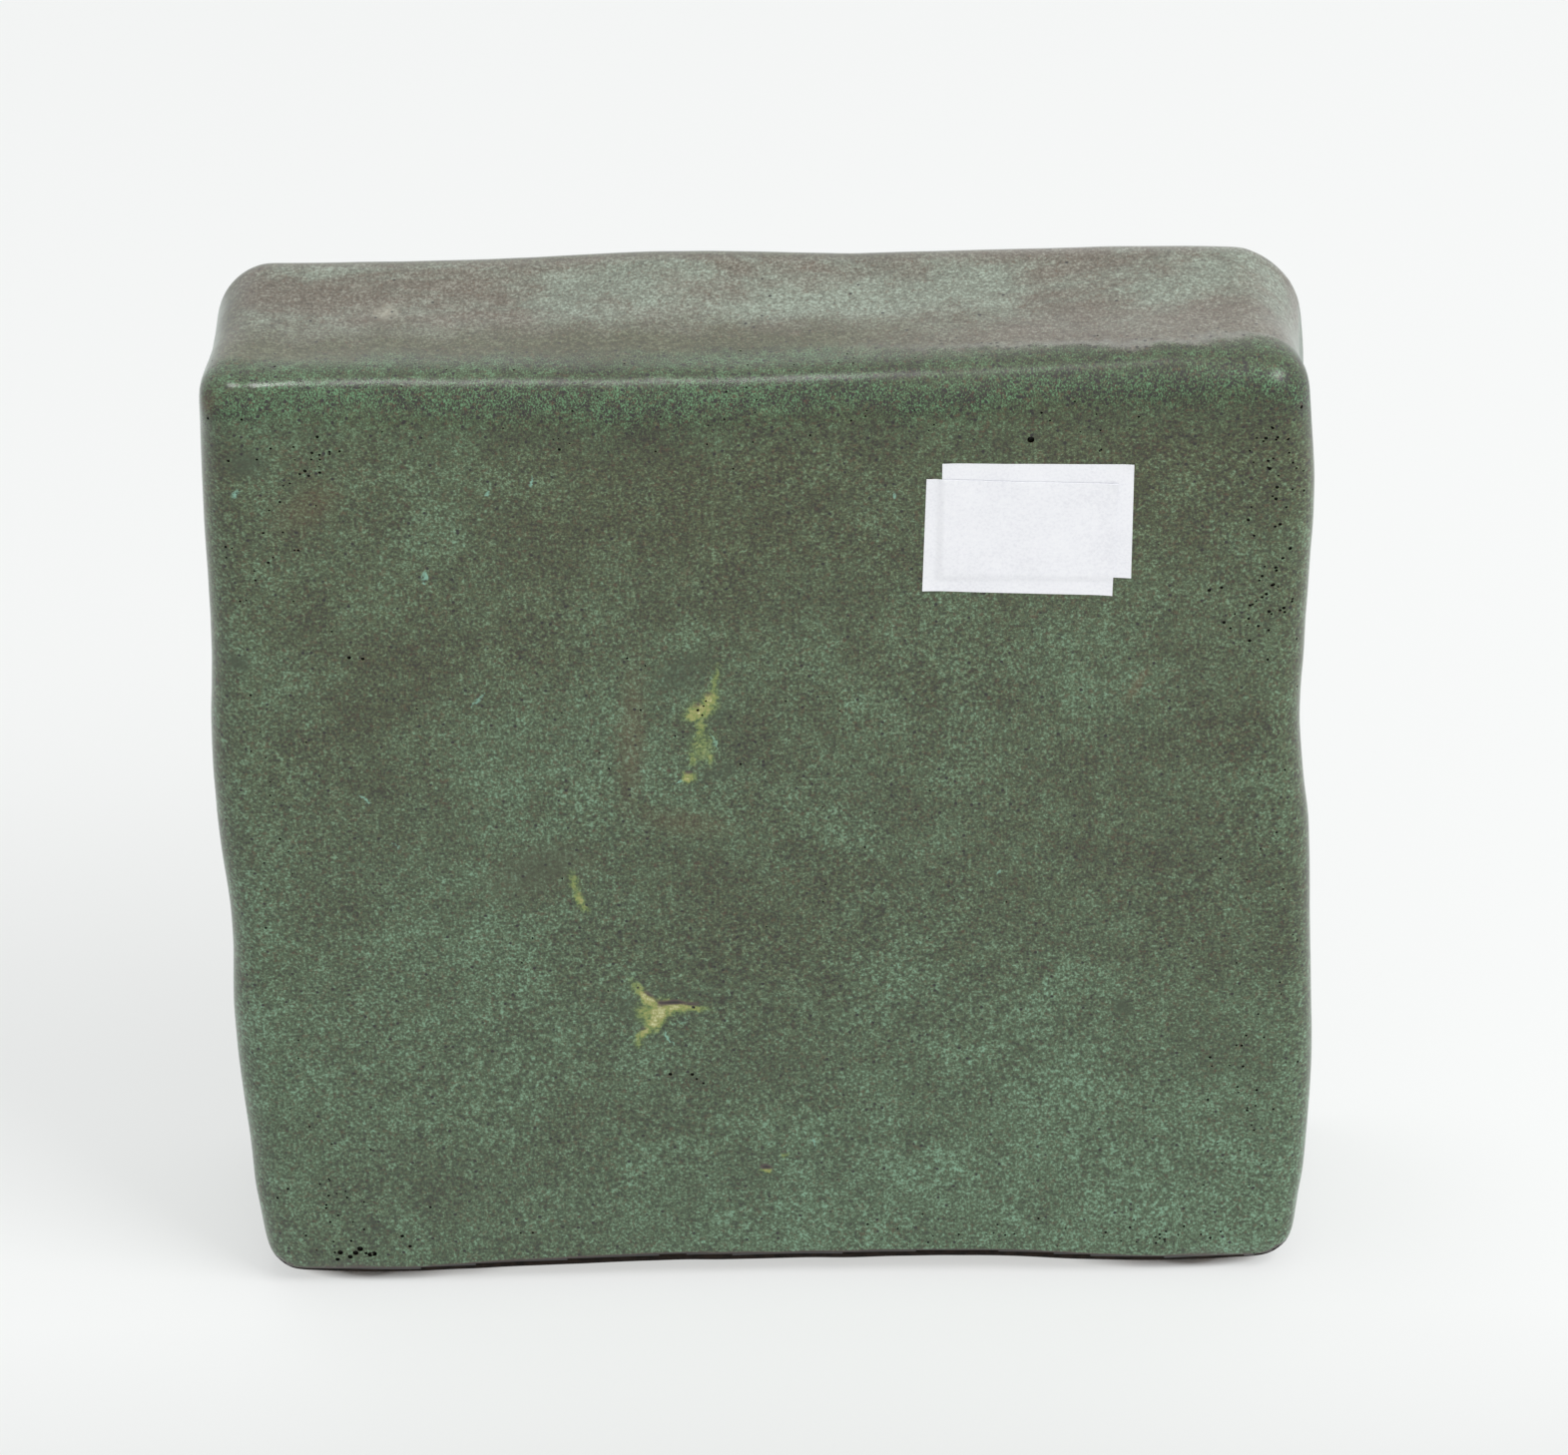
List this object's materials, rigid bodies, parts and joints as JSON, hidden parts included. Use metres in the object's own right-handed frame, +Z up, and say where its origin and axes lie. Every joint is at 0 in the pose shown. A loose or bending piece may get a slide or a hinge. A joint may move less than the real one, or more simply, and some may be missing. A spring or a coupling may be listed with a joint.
{
  "type": "bookend",
  "caption": "Hollow rectangular pottery bookend with rounded, hand-worked edges, a matte green glaze, a corked filling hole underneath and felt feet.",
  "frame": {"origin": "on the shelf, under the middle of the object's box, so that the felt feet rest at z = 0", "axes": "+Z up; -Y out of the plain near face that carries the labels, which is the side seen in the picture; +X to the picture's right, along the face"},
  "size_m": [0.1322, 0.0346, 0.1309],
  "materials": {
    "green_matte_glaze": "satin",
    "bare_fired_clay": "matte",
    "dry_sand": "matte",
    "cork": "matte",
    "felt": "matte",
    "label_paper": "matte"
  },
  "bodies": {
    "bookend": {"near_face_slab": "green_matte_glaze", "far_face_slab": "green_matte_glaze", "top_strip": "green_matte_glaze", "left_end_strip": "green_matte_glaze", "right_end_strip": "green_matte_glaze", "base_strip": "bare_fired_clay", "sand_ballast": "dry_sand", "felt_foot_1": "felt", "felt_foot_2": "felt", "felt_foot_3": "felt", "felt_foot_4": "felt", "label_under": "label_paper", "label_upper": "label_paper"},
    "stopper": {"cork_bung": "cork"}
  },
  "joints": [
    {"name": "bung_pull", "type": "slide", "parent": "bookend", "child": "stopper", "axis": [0, 0, -1], "range_m": [0, 0.014]}
  ]
}
